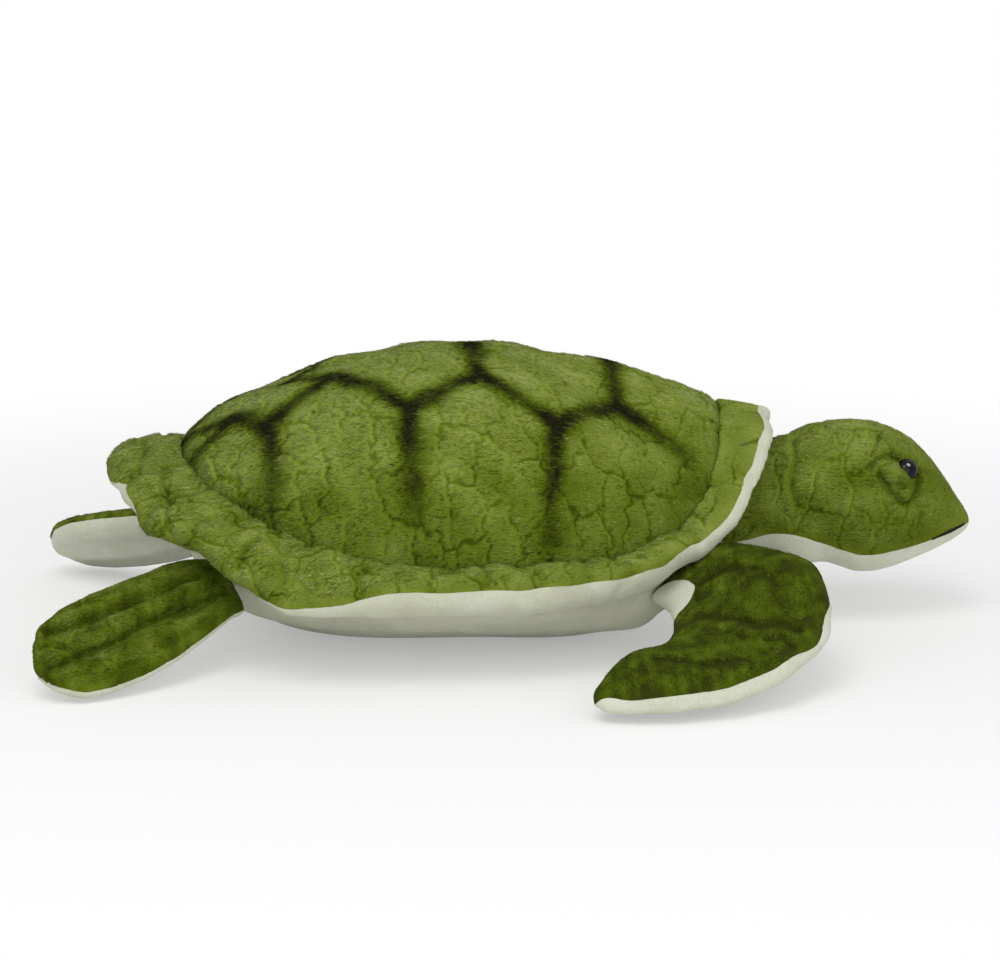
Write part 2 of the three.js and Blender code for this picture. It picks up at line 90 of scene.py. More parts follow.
class Finish:  # a material, or the sky, while its nodes are laid out
    def __init__(self, name, owner=None):
        self.material = owner or bpy.data.materials.new(name)
        self.material.use_nodes = True
        self.material.node_tree.nodes.clear()

    def add(self, kind, settings=None, sockets=None, output=0):
        node = self.material.node_tree.nodes.new(kind)
        for key, value in (settings or {}).items():
            if key == "stops":
                self.setStops(node.color_ramp.elements, value)
            else:
                setattr(node, key, value)
        for key, value in (sockets or {}).items():
            if isinstance(value, Wire):
                self.material.node_tree.links.new(value.socket, node.inputs[key])
            else:
                node.inputs[key].default_value = value
        return Wire(self, node.outputs[output])

    def setStops(self, elements, stops):
        while len(elements) < len(stops):
            elements.new(1)
        for element, (place, colour) in zip(elements, stops):
            element.position, element.color = place, (*colour, 1)

    def grain(self, scale, stretch=(1, 1, 1), detail=2.0):
        own = self.add("ShaderNodeTexCoord", output=3)
        place = self.add("ShaderNodeMapping", sockets={"Vector": own, "Scale": stretch})
        sockets = {"Vector": place, "Scale": scale, "Detail": detail}
        return self.add("ShaderNodeTexNoise", {"noise_dimensions": "3D"}, sockets)

    def field(self, name):
        return self.add("ShaderNodeAttribute", {"attribute_name": name}, output=2)

    def bump(self, height, distance, strength=1.0):
        sockets = {"Height": height, "Distance": distance, "Strength": strength}
        return self.add("ShaderNodeBump", sockets=sockets)

    def surface(self, **sockets):
        return self.close(self.add("ShaderNodeBsdfPrincipled", sockets=sockets))

    def close(self, shader, kind="ShaderNodeOutputMaterial"):
        nodes, links = self.material.node_tree.nodes, self.material.node_tree.links
        links.new(shader.socket, nodes.new(kind).inputs["Surface"])
        return self.material


def seenDirectly(make):  # 1 for the camera, mirrors and glass, 0 for the light that falls on the toy
    seen = make.add("ShaderNodeLightPath")
    glossy = make.add("ShaderNodeLightPath", output=3)
    through = make.add("ShaderNodeLightPath", output=6)
    return seen.maths("MAXIMUM", glossy).maths("MAXIMUM", through)


def makeStudio():
    sky = bpy.data.worlds.new("studio sky")
    make = Finish("sky", sky)
    plain = {"Color": (1, 1, 1, 1), "Strength": 1}
    white = make.add("ShaderNodeBackground", sockets=plain)
    soft = make.add("ShaderNodeBackground", sockets={**plain, "Strength": studio["skyStrength"]})
    seen = make.add("ShaderNodeLightPath")
    mixed = make.add("ShaderNodeMixShader", sockets={0: seen, 1: soft, 2: white})
    make.close(mixed, "ShaderNodeOutputWorld")
    scene.world = sky

    bm = bmesh.new()
    bmesh.ops.create_circle(bm, cap_ends=True, segments=96, radius=studio["floorRadius"])
    floor = newPiece("floor", bm)
    make = Finish("pale paper")
    lit = make.add("ShaderNodeBsdfDiffuse", sockets={"Color": studio["floorColour"]})
    glow = make.add("ShaderNodeEmission", sockets=plain)
    own = make.add("ShaderNodeTexCoord", output=3)
    away = make.add("ShaderNodeVectorMath", {"operation": "LENGTH"}, {0: own}, output="Value")
    near, far = studio["glowReach"]
    least, most = studio["floorGlow"]
    spread = make.add("ShaderNodeMapRange", {"interpolation_type": "SMOOTHSTEP"},
                      {"Value": away, "From Min": near, "From Max": far, "To Min": least, "To Max": most})
    paper = make.add("ShaderNodeMixShader", sockets={0: spread * seenDirectly(make), 1: lit, 2: glow})
    floor.data.materials.append(make.close(paper))

    for name, (place, power, size) in studio["lamps"].items():
        lamp = bpy.data.lights.new(name, "AREA")
        lamp.energy, lamp.size = power, size
        shown = bpy.data.objects.new(name, lamp)
        shown.location = place
        shown.rotation_euler = (Vector(studio["target"]) - Vector(place)).to_track_quat("-Z", "Y").to_euler()
        shown.visible_diffuse = name != "catch"
        scene.collection.objects.link(shown)


def makeCamera():
    a, e = studio["azimuth"], studio["elevation"]
    back = Vector((math.sin(a) * math.cos(e), -math.cos(a) * math.cos(e), math.sin(e)))
    lens = bpy.data.cameras.new("camera")
    lens.lens = studio["lens"]
    camera = bpy.data.objects.new("camera", lens)
    camera.location = Vector(studio["target"]) + back * studio["distance"]
    camera.rotation_euler = back.to_track_quat("Z", "Y").to_euler()
    scene.collection.objects.link(camera)
    scene.camera = camera
    scene.view_settings.view_transform = "Standard"


def treeOf(mesh):
    return BVHTree.FromPolygons([v.co for v in mesh.vertices], [tuple(p.vertices) for p in mesh.polygons])


def seenAt(pixels, form):  # where the camera sees a piece at given pixels of the photograph
    camera = scene.camera
    turn = camera.rotation_euler.to_matrix()
    right, up, back = turn.col[0], turn.col[1], turn.col[2]
    eye = Vector(studio["target"]) + back * studio["distance"]
    tree, found = treeOf(form.data), []
    for u, v in pixels:
        aim = Vector(studio["target"]) + right * (u - studio["middle"][0]) * studio["pixel"]
        aim += up * (studio["middle"][1] - v) * studio["pixel"]
        hit = tree.ray_cast(eye, (aim - eye).normalized())[0]
        if hit:
            found.append(hit)
    return np.array(found)


def onRight(at):  # every point, mirrored to the toy's right side
    return at * (1, 0, 1) - np.abs(at) * (0, 1, 0)


def bell(away, width, power=2):  # 1 in the middle, fading over its width
    return np.exp(-(away / width) ** power)


def awayFrom(at, path):  # distance to a line through points of the right side, on either side
    at, best = onRight(at), np.full(len(at), 1.0)
    for a, b in zip(path, path[1:]):
        span = b - a
        share = np.clip(((at - a) @ span) / (span @ span), 0, 1)
        best = np.minimum(best, np.linalg.norm(at - a - share[:, None] * span, axis=1))
    return best


def pull(form, moves):  # moves the cloth round given points, the same on either side
    at = places(form.data)
    for spot, way, radius in moves:
        mirror = np.where(at[:, 1] > 0, -1, 1)[:, None] * (0, 1, 0) + (1, 0, 1)
        share = bell(np.linalg.norm(at * mirror - spot, axis=1), radius)
        at += share[:, None] * mirror * way
    form.data.vertices.foreach_set("co", at.astype(np.float32).ravel())
    form.data.update()


measured = {}  # places found on a form from pixels of the photograph


def onForm(moves, form):  # pixels of the photograph become places on the form
    return [(seenAt([pixel], form)[0], np.array(way), radius) for pixel, way, radius in moves]


def shifts(at, spots, power=2):  # the sum of soft changes round given places
    return sum(change * bell(np.linalg.norm(at - spot, axis=1), radius, power)
               for spot, change, radius in spots)


# in depths and widths of a fold, and the depth from which its painted shade is fully dark
folding = {"ridge": 0.25, "ridgePlace": 3, "ridgeWidth": 2, "dark": 2 * mm}


def foldPaths(paths, form):
    return [(seenAt(path, form), width, depth) for path, width, depth in paths.values()]


def foldHeight(at, paths):  # a groove along each path, with a soft ridge on either side
    height = np.zeros(len(at))
    for path, width, depth in paths:
        away = awayFrom(at, path)
        ridge = folding["ridge"] * bell(away / width - folding["ridgePlace"], folding["ridgeWidth"])
        height += depth * (ridge - bell(away, width))
    return height


def foldShade(at, paths):  # how much of a fold's shade lies at each point
    shade = np.zeros(len(at))
    for path, width, depth in paths:
        shade = np.maximum(shade, bell(awayFrom(at, path), width) * min(1, depth / folding["dark"]))
    return shade


# Soft forms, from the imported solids

def newPiece(name, bm):
    mesh = bpy.data.meshes.new(name)
    bm.to_mesh(mesh)
    bm.free()
    piece = bpy.data.objects.new(name, mesh)
    scene.collection.objects.link(piece)
    return piece


def finished(piece):  # its modifiers become part of its mesh
    graph = bpy.context.evaluated_depsgraph_get()
    mesh = bpy.data.meshes.new_from_object(piece.evaluated_get(graph))
    piece.modifiers.clear()
    piece.data = mesh
    return piece


def stuffed(name, nodes, look):  # one smooth form round the cloth and filling of a limb
    bm = bmesh.new()
    for node in nodes:
        bm.from_mesh(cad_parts[node].data)
    bmesh.ops.remove_doubles(bm, verts=bm.verts, dist=0.001 * mm)
    form = newPiece(name, bm)
    remesh = form.modifiers.new("remesh", "REMESH")
    remesh.mode, remesh.voxel_size = "VOXEL", look["voxel"]
    finished(form)
    keepOutside(form)
    smooth = form.modifiers.new("smooth", "SMOOTH")
    smooth.factor, smooth.iterations = 0.5, look["rounds"]
    return finished(form)


def islands(items, beside):  # groups of items that are joined
    left, groups = set(items), []
    while left:
        group, front = set(), [left.pop()]
        while front:
            item = front.pop()
            group.add(item)
            near = beside(item) & left
            left -= near
            front.extend(near)
        groups.append(group)
    return groups


def keepOutside(form):  # bubbles between the cloth and its filling go
    bm = bmesh.new()
    bm.from_mesh(form.data)
    shells = islands(bm.verts, lambda vert: {edge.other_vert(vert) for edge in vert.link_edges})
    shells.sort(key=len)
    bmesh.ops.delete(bm, geom=[vert for shell in shells[:-1] for vert in shell], context="VERTS")
    bm.to_mesh(form.data)
    bm.free()


def refine(form):
    step = form.modifiers.new("finer", "SUBSURF")
    step.levels = step.render_levels = 1
    return finished(form)


# rounds that smooth the line between two covers, the share of an edge within which the cut takes its corner,
# and the part of all faces under which an island of one cover goes to the other
parting = {"rounds": 9, "corner": 0.12, "island": 12}


def joinIslands(bm, layer):
    def beside(face):
        return {other for edge in face.edges for other in edge.link_faces if other[layer] == face[layer]}

    for island in islands(bm.faces, beside):
        if len(island) < len(bm.faces) / parting["island"]:
            for face in island:
                face[layer] = 1 - face[layer]


def halves(form, nodes, rise, names):  # cut where the two covers meet, and close each half
    bm = bmesh.new()
    bm.from_mesh(form.data)
    keep, inward = bm.faces.layers.int.new("half"), bm.verts.layers.float.new("rim")
    above, below = (treeOf(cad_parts[node].data) for node in nodes[:2])
    bm.normal_update()
    at, up = (np.array([getattr(v, part) for v in bm.verts]) for part in ("co", "normal"))
    lift = rise(at, up) if rise else np.zeros(len(at))
    level = {v: below.find_nearest(v.co)[3] - above.find_nearest(v.co)[3] - lift[v.index] for v in bm.verts}
    for _ in range(parting["rounds"]):
        level = {v: (level[v] + sum(level[e.other_vert(v)] for e in v.link_edges)) / (1 + len(v.link_edges))
                 for v in bm.verts}
    for edge in list(bm.edges):
        a, b = edge.verts
        if level[a] * level[b] < 0:
            share = level[a] / (level[a] - level[b])
            if share < parting["corner"]:
                level[a] = 0
            elif share > 1 - parting["corner"]:
                level[b] = 0
            else:
                level[bmesh.utils.edge_split(edge, a, share)[1]] = 0
    on = [v for v in bm.verts if level[v] == 0]
    bmesh.ops.connect_verts(bm, verts=on)
    bm.faces.ensure_lookup_table()
    for vert in bm.verts:
        vert[inward] = abs(level[vert])
    for face in bm.faces:
        face[keep] = 1 if sum(level[v] for v in face.verts) > 0 else 0
    joinIslands(bm, keep)
    pieces = [closedHalf(bm, side, name) for side, name in zip((1, 0), names)]
    bm.free()
    bpy.data.objects.remove(form)
    return [refine(piece) for piece in pieces]


def closedHalf(bm, side, name):  # its faces, and new ones across the cut, which stays crisp
    half = bm.copy()
    layer, crisp = half.faces.layers.int["half"], half.edges.layers.float.new("crease_edge")
    bmesh.ops.delete(half, geom=[f for f in half.faces if f[layer] != side], context="FACES")
    rim = [e for e in half.edges if e.is_boundary]
    for edge in rim:
        edge.smooth, edge[crisp] = False, 1
    made = bmesh.ops.triangle_fill(half, edges=rim, use_beauty=True)
    for face in half.faces:
        face[layer], face.smooth = 0, True
    for face in made["geom"]:
        if isinstance(face, bmesh.types.BMFace):
            face[layer] = 1
    bmesh.ops.recalc_face_normals(half, faces=half.faces)
    return newPiece(name, half)


def places(mesh):
    out = np.empty(len(mesh.vertices) * 3, np.float32)
    mesh.vertices.foreach_get("co", out)
    return out.reshape(-1, 3)


def normals(mesh):
    out = np.empty(len(mesh.vertices) * 3, np.float32)
    mesh.vertex_normals.foreach_get("vector", out)
    return out.reshape(-1, 3)


def swell(form, height):  # moves each point of a form along its normal
    at = places(form.data)
    at += normals(form.data) * height(at)[:, None]
    form.data.vertices.foreach_set("co", at.ravel())
    form.data.update()


def ripple(at, size, seed, waves=7):  # smooth seeded noise of one size, about -1 to 1
    dice = np.random.default_rng(seed)
    ways = dice.normal(size=(waves, 3))
    ways *= (2 * np.pi / size) / np.linalg.norm(ways, axis=1)[:, None]
    total = np.zeros(len(at))
    for way, phase in zip(ways, dice.uniform(0, 2 * np.pi, waves)):
        total += np.sin(at @ way + phase)
    return total / math.sqrt(waves)


def ramp(value, low, high):  # 0 below the low value, 1 above the high one
    share = np.clip((value - low) / (high - low), 0, 1)
    return share * share * (3 - 2 * share)


def fade(value, low, high):  # the other way round
    return ramp(-value, -high, -low)


creasing = {
    "apart": 0.7,  # how close two cells may lie, and the sizes of the waves that bend a crease, in cells
    "waves": (0.55, 0.2),
    "second": 0.3,  # the shorter wave's strength
    "patch": 38 * mm,  # the size of the patches with creases, and where in its ripple they fade in
    "fadeIn": (-1.1, -0.1),
    "puffReach": 7 * mm,
    "batch": 20000,  # points at a time
}


class Creases:  # the pattern of creases that is pressed into the plush, as the borders between cells
    def __init__(self, at, settings):
        size, self.seed, self.wander = settings["cells"], settings["seed"], settings["wander"]
        dice = np.random.default_rng(self.seed)
        low, high = at.min(0), at.max(0)
        count = max(12, int(np.prod(high - low) ** (1 / 1.5) * 9 / size ** 2))  # more than there is room for
        self.squeeze, self.size = np.array(settings.get("squeeze", (1, 1, 1))), size
        self.seeds = []
        for spot in at[dice.choice(len(at), min(count, len(at)), replace=False)] * self.squeeze:
            if all(np.sum((spot - other) ** 2) > (size * creasing["apart"]) ** 2 for other in self.seeds):
                self.seeds.append(spot)
        self.seeds = np.array(self.seeds)

    def nearest(self, at):  # the distance to the nearest crease, and the cell, of each point
        bent = at.copy()
        long, short = creasing["waves"]
        for axis in range(3):
            second = creasing["second"] * ripple(at, self.size * short, self.seed + 5 + axis)
            bent[:, axis] += self.wander * (ripple(at, self.size * long, self.seed + axis) + second)
        bent = bent * self.squeeze
        away, cell = np.empty(len(at)), np.empty(len(at), int)
        for start in range(0, len(at), creasing["batch"]):
            batch = slice(start, start + creasing["batch"])
            part = bent[batch]
            square = (part ** 2).sum(1)[:, None] + (self.seeds ** 2).sum(1)[None] - 2 * part @ self.seeds.T
            order = np.argpartition(square, 1, axis=1)[:, :2]
            near = np.take_along_axis(square, order, 1)
            apart = np.linalg.norm(self.seeds[order[:, 0]] - self.seeds[order[:, 1]], axis=1)
            away[batch] = np.abs(near[:, 1] - near[:, 0]) / (2 * apart)
            cell[batch] = np.take_along_axis(order, near.argmin(1)[:, None], 1)[:, 0]
        return away, cell

    def shown(self, at):  # the creases fade in and out
        return ramp(ripple(at, creasing["patch"], self.seed + 12), *creasing["fadeIn"])


def pressCreases(top, look, paths=(), share=1.0, wave=0):  # presses creases and folds into a green cloth
    settings, at = look["creases"], places(top.data)
    creases = Creases(at, settings)
    away, shown = creases.nearest(at)[0], creases.shown(at) * share
    fold = bell(away, settings["width"]) * shown
    puff = settings.get("puff", 0) * ramp(away, 0, creasing["puffReach"]) * shown
    swell(top, lambda at: puff - settings["depth"] * fold + foldHeight(at, paths) + wave)
    setField(top.data, "crease", fold)
    return creases, fold


def shading(top, look, fold, paths=()):  # how light a green cloth is at each point: its patches of tone, with painted light and painted shade
    at, up = places(top.data), normals(top.data)
    # painted light: lighter where it faces up
    share, low, high = look["crown"]
    light = look["light"] + share * ramp(up[:, 2], low, high)
    # painted shade: darker low down
    if "foot" in look:
        share, low, high = look["foot"]
        light -= share * fade(at[:, 2], low, high)
    for share, size, seed in look["patches"]:
        light += share * ripple(at, size, seed)
    # painted shade in the folds
    if paths:
        light -= look["foldShade"] * foldShade(at, paths)
    # painted shade in the creases
    return light - look["creases"]["shade"] * plush["creases"] * fold


def shadeWhite(piece, light, size=40 * mm, seed=18):
    setField(piece.data, "light", light + plush["whitePatches"] * ripple(places(piece.data), size, seed))


def oneWay(nap):  # the same nap everywhere
    return lambda at: np.tile(nap, (len(at), 1))


def setField(mesh, name, values):
    layer = mesh.attributes.get(name) or mesh.attributes.new(name, "FLOAT", "POINT")
    layer.data.foreach_set("value", values.astype(np.float32))


def getField(mesh, name):
    out = np.empty(len(mesh.vertices), np.float32)
    mesh.attributes[name].data.foreach_get("value", out)
    return out


# Finishes

plush = {
    # from the brown of the sprayed lines, through the olive greens, to pale sage
    "shades": [(0.013, 0.012, 0.005), (0.034, 0.042, 0.005), (0.060, 0.088, 0.004), (0.104, 0.144, 0.009),
               (0.150, 0.198, 0.024), (0.198, 0.254, 0.040), (0.256, 0.318, 0.068), (0.330, 0.390, 0.118),
               (0.420, 0.475, 0.185)],
    "sheenTint": (0.8, 0.88, 0.6, 1),
    "pileSheen": 0.2,
    "creases": 0.26,  # painted shade: how much darker a crease is
    "white": (0.66, 0.68, 0.57),
    "whiteShade": (0.50, 0.51, 0.38),
    "whitePatches": 0.1,
}


def greenCloth(name, darkest):  # under the pile, in the same shades
    make = Finish(name)
    streaks = make.grain(900, (0.3, 1, 1), 3)
    level = make.field("light") + streaks * 0.22 - 0.2
    shades = plush["shades"]
    stops = [(step / (len(shades) - 1), shades[max(step, darkest)]) for step in range(len(shades))]
    colour = make.add("ShaderNodeValToRGB", {"stops": stops}, {"Fac": level})
    relief = make.bump(streaks, 1.2 * mm, 0.8)
    return make.surface(**{"Base Color": colour, "Roughness": 0.9, "Normal": relief, "Sheen Weight": 0.03,
                           "Sheen Tint": plush["sheenTint"], "Sheen Roughness": 0.5,
                           "Specular IOR Level": 0.0})


def whiteCloth():
    make = Finish("white_plush_cloth")
    pile = make.grain(1100, (0.6, 1, 1), 3)
    soft = make.grain(60, detail=3)
    share = pile * 0.5 + soft * 0.5 + make.field("light") * 0.4 - 0.3
    white, shade = plush["white"], plush["whiteShade"]
    colour = make.add("ShaderNodeValToRGB", {"stops": [(0.15, shade), (0.6, white)]}, {"Fac": share})
    relief = make.bump(pile * 0.7 + soft * 0.8, 1.0 * mm, 0.7)
    return make.surface(**{"Base Color": colour, "Roughness": 0.88, "Sheen Weight": 0.2,
                           "Sheen Roughness": 0.4, "Normal": relief, "Specular IOR Level": 0.05})


def eyePlastic():
    make = Finish("black_eye_plastic")
    scuffs = make.grain(240, detail=4)
    return make.surface(**{"Base Color": (0.004, 0.004, 0.006, 1), "Roughness": scuffs * 0.04 + 0.02,
                           "Specular IOR Level": 0.2})


def washerPlastic():
    make = Finish("moulded_washer_plastic")
    relief = make.bump(make.grain(900), 0.2 * mm, 0.4)
    return make.surface(**{"Base Color": (0.48, 0.49, 0.48, 1), "Roughness": 0.55, "Normal": relief})


def stitchThread():
    make = Finish("dark_twisted_thread")
    twist = make.grain(1500, (1, 1, 1), 2)
    stops = [(0.3, (0.008, 0.007, 0.004)), (0.7, (0.035, 0.028, 0.014))]
    colour = make.add("ShaderNodeValToRGB", {"stops": stops}, {"Fac": twist})
    return make.surface(**{"Base Color": colour, "Roughness": 0.9, "Specular IOR Level": 0.05,
                           "Normal": make.bump(twist, 0.5 * mm)})


def pileShades():
    made = []
    for number, shade in enumerate(plush["shades"]):
        make = Finish(f"green_pile_{number}")
        sheen = plush["pileSheen"] * number / len(plush["shades"])  # the sprayed fibres are dull
        made.append(make.surface(**{"Base Color": (*shade, 1), "Roughness": 0.8, "Sheen Weight": sheen,
                                    "Sheen Tint": plush["sheenTint"], "Sheen Roughness": 0.4,
                                    "Specular IOR Level": 0.0}))
    return made


# Pile: short closed strands that lie along the nap

strand = {
    "bend": 0.16, "bendSize": 45 * mm, "stray": 0.09,  # how strands leave the nap, in waves and singly
    "lift": (0.5, 1.4), "length": (0.65, 1.2), "width": (0.7, 1.25),  # the least and most of each measure
    "flatness": 0.6, "rootDepth": 0.4 * mm,
    "shorter": 0.45,  # in a crease
    "atRim": 0.4, "rimReach": 8 * mm,  # its length at the rim, and where it is whole
    "creaseShade": 0.5, "creaseWidth": 1.1 * mm,
    "creased": 0.3,  # where creases show this much, a strand stops short of one
    "tries": (1.0, 0.75, 0.5, 0.25), "short": 0.12,
    "streaks": [(1, 4.2 * mm, 71), (0.6, 11 * mm, 72)],  # share, size, seed
    "streakWaves": 24, "drawn": 0.7,  # drawn out along the nap
}


def oneStrand():  # a unit strand along +X: 1 long, 1 wide
    bm = bmesh.new()
    bmesh.ops.create_cone(bm, cap_ends=True, segments=3, radius1=0.5, radius2=0, depth=1)
    bmesh.ops.remove_doubles(bm, verts=bm.verts, dist=0.001)
    bmesh.ops.translate(bm, verts=bm.verts, vec=(0, 0, 0.5))
    bmesh.ops.rotate(bm, verts=bm.verts, matrix=Matrix.Rotation(math.pi / 2, 3, "Y"))
    bmesh.ops.triangulate(bm, faces=bm.faces)
    corners = np.array([v.co for v in bm.verts])
    faces = np.array([[v.index for v in f.verts] for f in bm.faces])
    bm.free()
    return corners, faces


def scatter(mesh, settings, allowed):  # seeded places on a mesh, with its normals and fields there
    count = settings["count"]
    mesh.calc_loop_triangles()
    corners = np.empty(len(mesh.loop_triangles) * 3, np.int32)
    mesh.loop_triangles.foreach_get("vertices", corners)
    corners = corners.reshape(-1, 3)
    owner = np.empty(len(corners), np.int32)
    mesh.loop_triangles.foreach_get("polygon_index", owner)
    capped = np.empty(len(mesh.polygons), np.int32)
    mesh.attributes["half"].data.foreach_get("value", capped)
    at, up = places(mesh), normals(mesh)
    a, b, c = (at[corners[:, i]] for i in range(3))
    area = np.linalg.norm(np.cross(b - a, c - a), axis=1) * (capped[owner] == 0)
    if allowed:
        area = area * allowed((a + b + c) / 3)
    dice = np.random.default_rng(settings["seed"])
    chosen = dice.choice(len(area), count, p=area / area.sum())
    s, t = dice.random(count), dice.random(count)
    s, t = np.where(s + t > 1, 1 - s, s), np.where(s + t > 1, 1 - t, t)
    weights = np.stack([1 - s - t, s, t], 1)[:, :, None]
    found = [(at[corners[chosen]] * weights).sum(1), (up[corners[chosen]] * weights).sum(1)]
    for name in ("light", "crease", "rim"):
        found.append((getField(mesh, name)[corners[chosen]] * weights[:, :, 0]).sum(1))
    return found


def growPile(name, skin, settings, nap, creases, allowed=None):  # strands all over a cloth
    roots, up, light, crease, rim = scatter(skin.data, settings, allowed)
    dice = np.random.default_rng(settings["seed"] + 1)
    count = settings["count"]
    up /= np.linalg.norm(up, axis=1)[:, None]
    way = nap(roots)
    for axis in range(3):
        bend = strand["bend"] * ripple(roots, strand["bendSize"], 31 + axis)
        way[:, axis] += bend + dice.normal(0, strand["stray"], count)
    way -= up * (way * up).sum(1)[:, None]
    way /= np.linalg.norm(way, axis=1)[:, None]
    lift = (np.radians(settings["lift"]) * dice.uniform(*strand["lift"], count))[:, None]
    along = way * np.cos(lift) + up * np.sin(lift)
    across = np.cross(up, way)
    thick = np.cross(along, across)
    length = settings["length"] * dice.uniform(*strand["length"], count) * (1 - strand["shorter"] * crease)
    length *= strand["atRim"] + (1 - strand["atRim"]) * ramp(rim, 0, strand["rimReach"])
    away, home = creases.nearest(roots)
    shown = creases.shown(roots)
    light = light - strand["creaseShade"] * plush["creases"] * bell(away, strand["creaseWidth"]) * shown
    held, reach = shown >= strand["creased"], np.ones(count)
    for share in strand["tries"]:
        crosses = creases.nearest(roots + way * (length * share)[:, None])[1] != home
        reach[held & crosses] = share - strand["short"]
    length *= reach
    main = way.mean(0) / np.linalg.norm(way.mean(0))
    drawn = roots - strand["drawn"] * (roots @ main)[:, None] * main
    waves = strand["streakWaves"]
    light = light + settings["streak"] * sum(share * ripple(drawn, size, seed, waves)
                                             for share, size, seed in strand["streaks"])
    width = settings["width"] * dice.uniform(*strand["width"], count)
    corners, faces = oneStrand()
    spots = (roots[:, None] - up[:, None] * strand["rootDepth"]
             + along[:, None] * (corners[None, :, 0:1] * length[:, None, None])
             + across[:, None] * (corners[None, :, 1:2] * width[:, None, None])
             + thick[:, None] * (corners[None, :, 2:3] * strand["flatness"] * width[:, None, None]))
    last = len(plush["shades"]) - 1
    light = light + dice.normal(0, settings["mottle"], count)
    return strands(name, spots, faces, np.clip(np.round(light * last), settings["darkest"], last))


def strands(name, spots, faces, shade):  # one piece of many strands, each in one of the shades
    count, per = spots.shape[:2]
    indices = faces[None] + (np.arange(count) * per)[:, None, None]
    mesh = bpy.data.meshes.new(name)
    mesh.vertices.add(count * per)
    mesh.vertices.foreach_set("co", spots.astype(np.float32).ravel())
    mesh.loops.add(indices.size)
    mesh.loops.foreach_set("vertex_index", indices.astype(np.int32).ravel())
    total = count * len(faces)
    mesh.polygons.add(total)
    mesh.polygons.foreach_set("loop_start", np.arange(0, total * 3, 3, dtype=np.int32))
    mesh.polygons.foreach_set("material_index", np.repeat(shade, len(faces)).astype(np.int32))
    mesh.polygons.foreach_set("use_smooth", np.ones(total, bool))
    mesh.update(calc_edges=True)
    for material in shades:
        mesh.materials.append(material)
    pile = bpy.data.objects.new(name, mesh)
    scene.collection.objects.link(pile)
    return pile


def dress(piece, finish, slot, body, fill, *nodes):  # the fill is not used
    piece.data.materials.clear()
    piece.data.materials.append(finish)
    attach(piece, body)
    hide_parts(*nodes)


def dressPair(top, under, body, look, nodes):  # nodes: the two covers and their filling
    shadeWhite(under, look["whiteLight"])
    dress(top, green, "green_plush", body, look["fill"], nodes[0], nodes[2])
    dress(under, white, "white_plush", body, look["fill"], nodes[1])


# Shell

shell = {
    "voxel": 3.4 * mm,
    "rounds": 24,
    "fill": 0.85,
    "creases": {"cells": 25 * mm, "squeeze": (1.25, 0.75, 0.6), "seed": 11, "wander": 2.4 * mm,
                "width": 0.9 * mm, "depth": 0.8 * mm, "puff": 0.2 * mm, "shade": 1},
    "wave": 1.2 * mm,
    "waveSize": 60 * mm,
    "light": 0.575,
    "crown": (0.17, 0.45, 0.95),  # painted light: how much lighter where it faces up, and how far up
    "foot": (0.06, 0.08, 0.13),  # painted shade: how much darker low down, and at what heights
    "patches": [(0.05, 30 * mm, 5)],  # strength, size, seed
    # painted shade: darker patches low on the flanks
    "shadePools": {"shade": 0.16, "size": 55 * mm, "ripple": (0.4, 1.3), "height": (0.09, 0.14)},
    "pulls": [((644, 616), (0, 0, -0.005), 18 * mm)],  # pixel of the photograph, move, radius
    "nap": (-1, 0, -0.22),
    "pile": {"count": 49500, "length": 4.6 * mm, "width": 0.8 * mm, "lift": 10, "mottle": 0.14,
             "streak": 0.10, "darkest": 0},  # the darkest of the plush shades that it has
    # the belly, its white darkened as painted shade, and the heights between which its waves fade in
    "belly": {"light": 0.05, "patch": 50 * mm, "wave": 0.8 * mm, "waveSize": 45 * mm, "flat": (0.004, 0.03),
              "fill": 0.8},
}

# where the sprayed lines of the shell meet on its right side, in metres
lineJoints = {
    "tailLow": (-0.121, -0.058, 0.147), "tailHigh": (-0.080, -0.024, 0.170),
    "middleLow": (-0.034, -0.078, 0.162), "middleHigh": (0.011, -0.055, 0.175),
    "neckLow": (0.057, -0.087, 0.151), "neckHigh": (0.099, -0.047, 0.153),
    "neckEnd": (0.143, -0.059, 0.121), "tailTurn": (-0.141, -0.029, 0.145),
    "tailRim": (-0.171, -0.043, 0.118), "tailTip": (-0.176, 0, 0.123),
    "tailFlank": (-0.117, -0.103, 0.113), "middleFlank": (-0.034, -0.131, 0.105),
    "neckFlank": (0.047, -0.133, 0.088), "tailCrown": (-0.104, 0, 0.163),
    "middleCrown": (0.011, 0, 0.184), "neckCrown": (0.099, 0, 0.171),
}
lines = [
    ("tailHigh", "tailLow"), ("tailHigh", "middleLow"), ("middleLow", "middleHigh"),
    ("middleHigh", "neckLow"), ("neckLow", "neckHigh"), ("neckHigh", "neckEnd"),
    ("tailLow", "tailTurn"), ("tailTurn", "tailRim"), ("tailTurn", "tailTip"),
    ("tailLow", "tailFlank"), ("middleLow", "middleFlank"), ("neckLow", "neckFlank"),
    ("tailHigh", "tailCrown"), ("middleHigh", "middleCrown"), ("neckHigh", "neckCrown"),
]
spray = {
    "width": 8.2 * mm,
    "strength": 1.15,
    "fade": 0.58,  # lighter down the flanks, and between two joints
    "fadePower": 0.8,
    "thin": 0.36,
    "dark": 0.97,
    "steps": 24,  # of a line
    "height": 0.04,  # of the axis that the lines are cast from, and how far outside they start
    "start": 0.1,
    "wander": 1.6 * mm,
    "wanderSize": 30 * mm,
    "patchy": 0.06,
    "patch": 14 * mm,
    "batch": 10000,
}


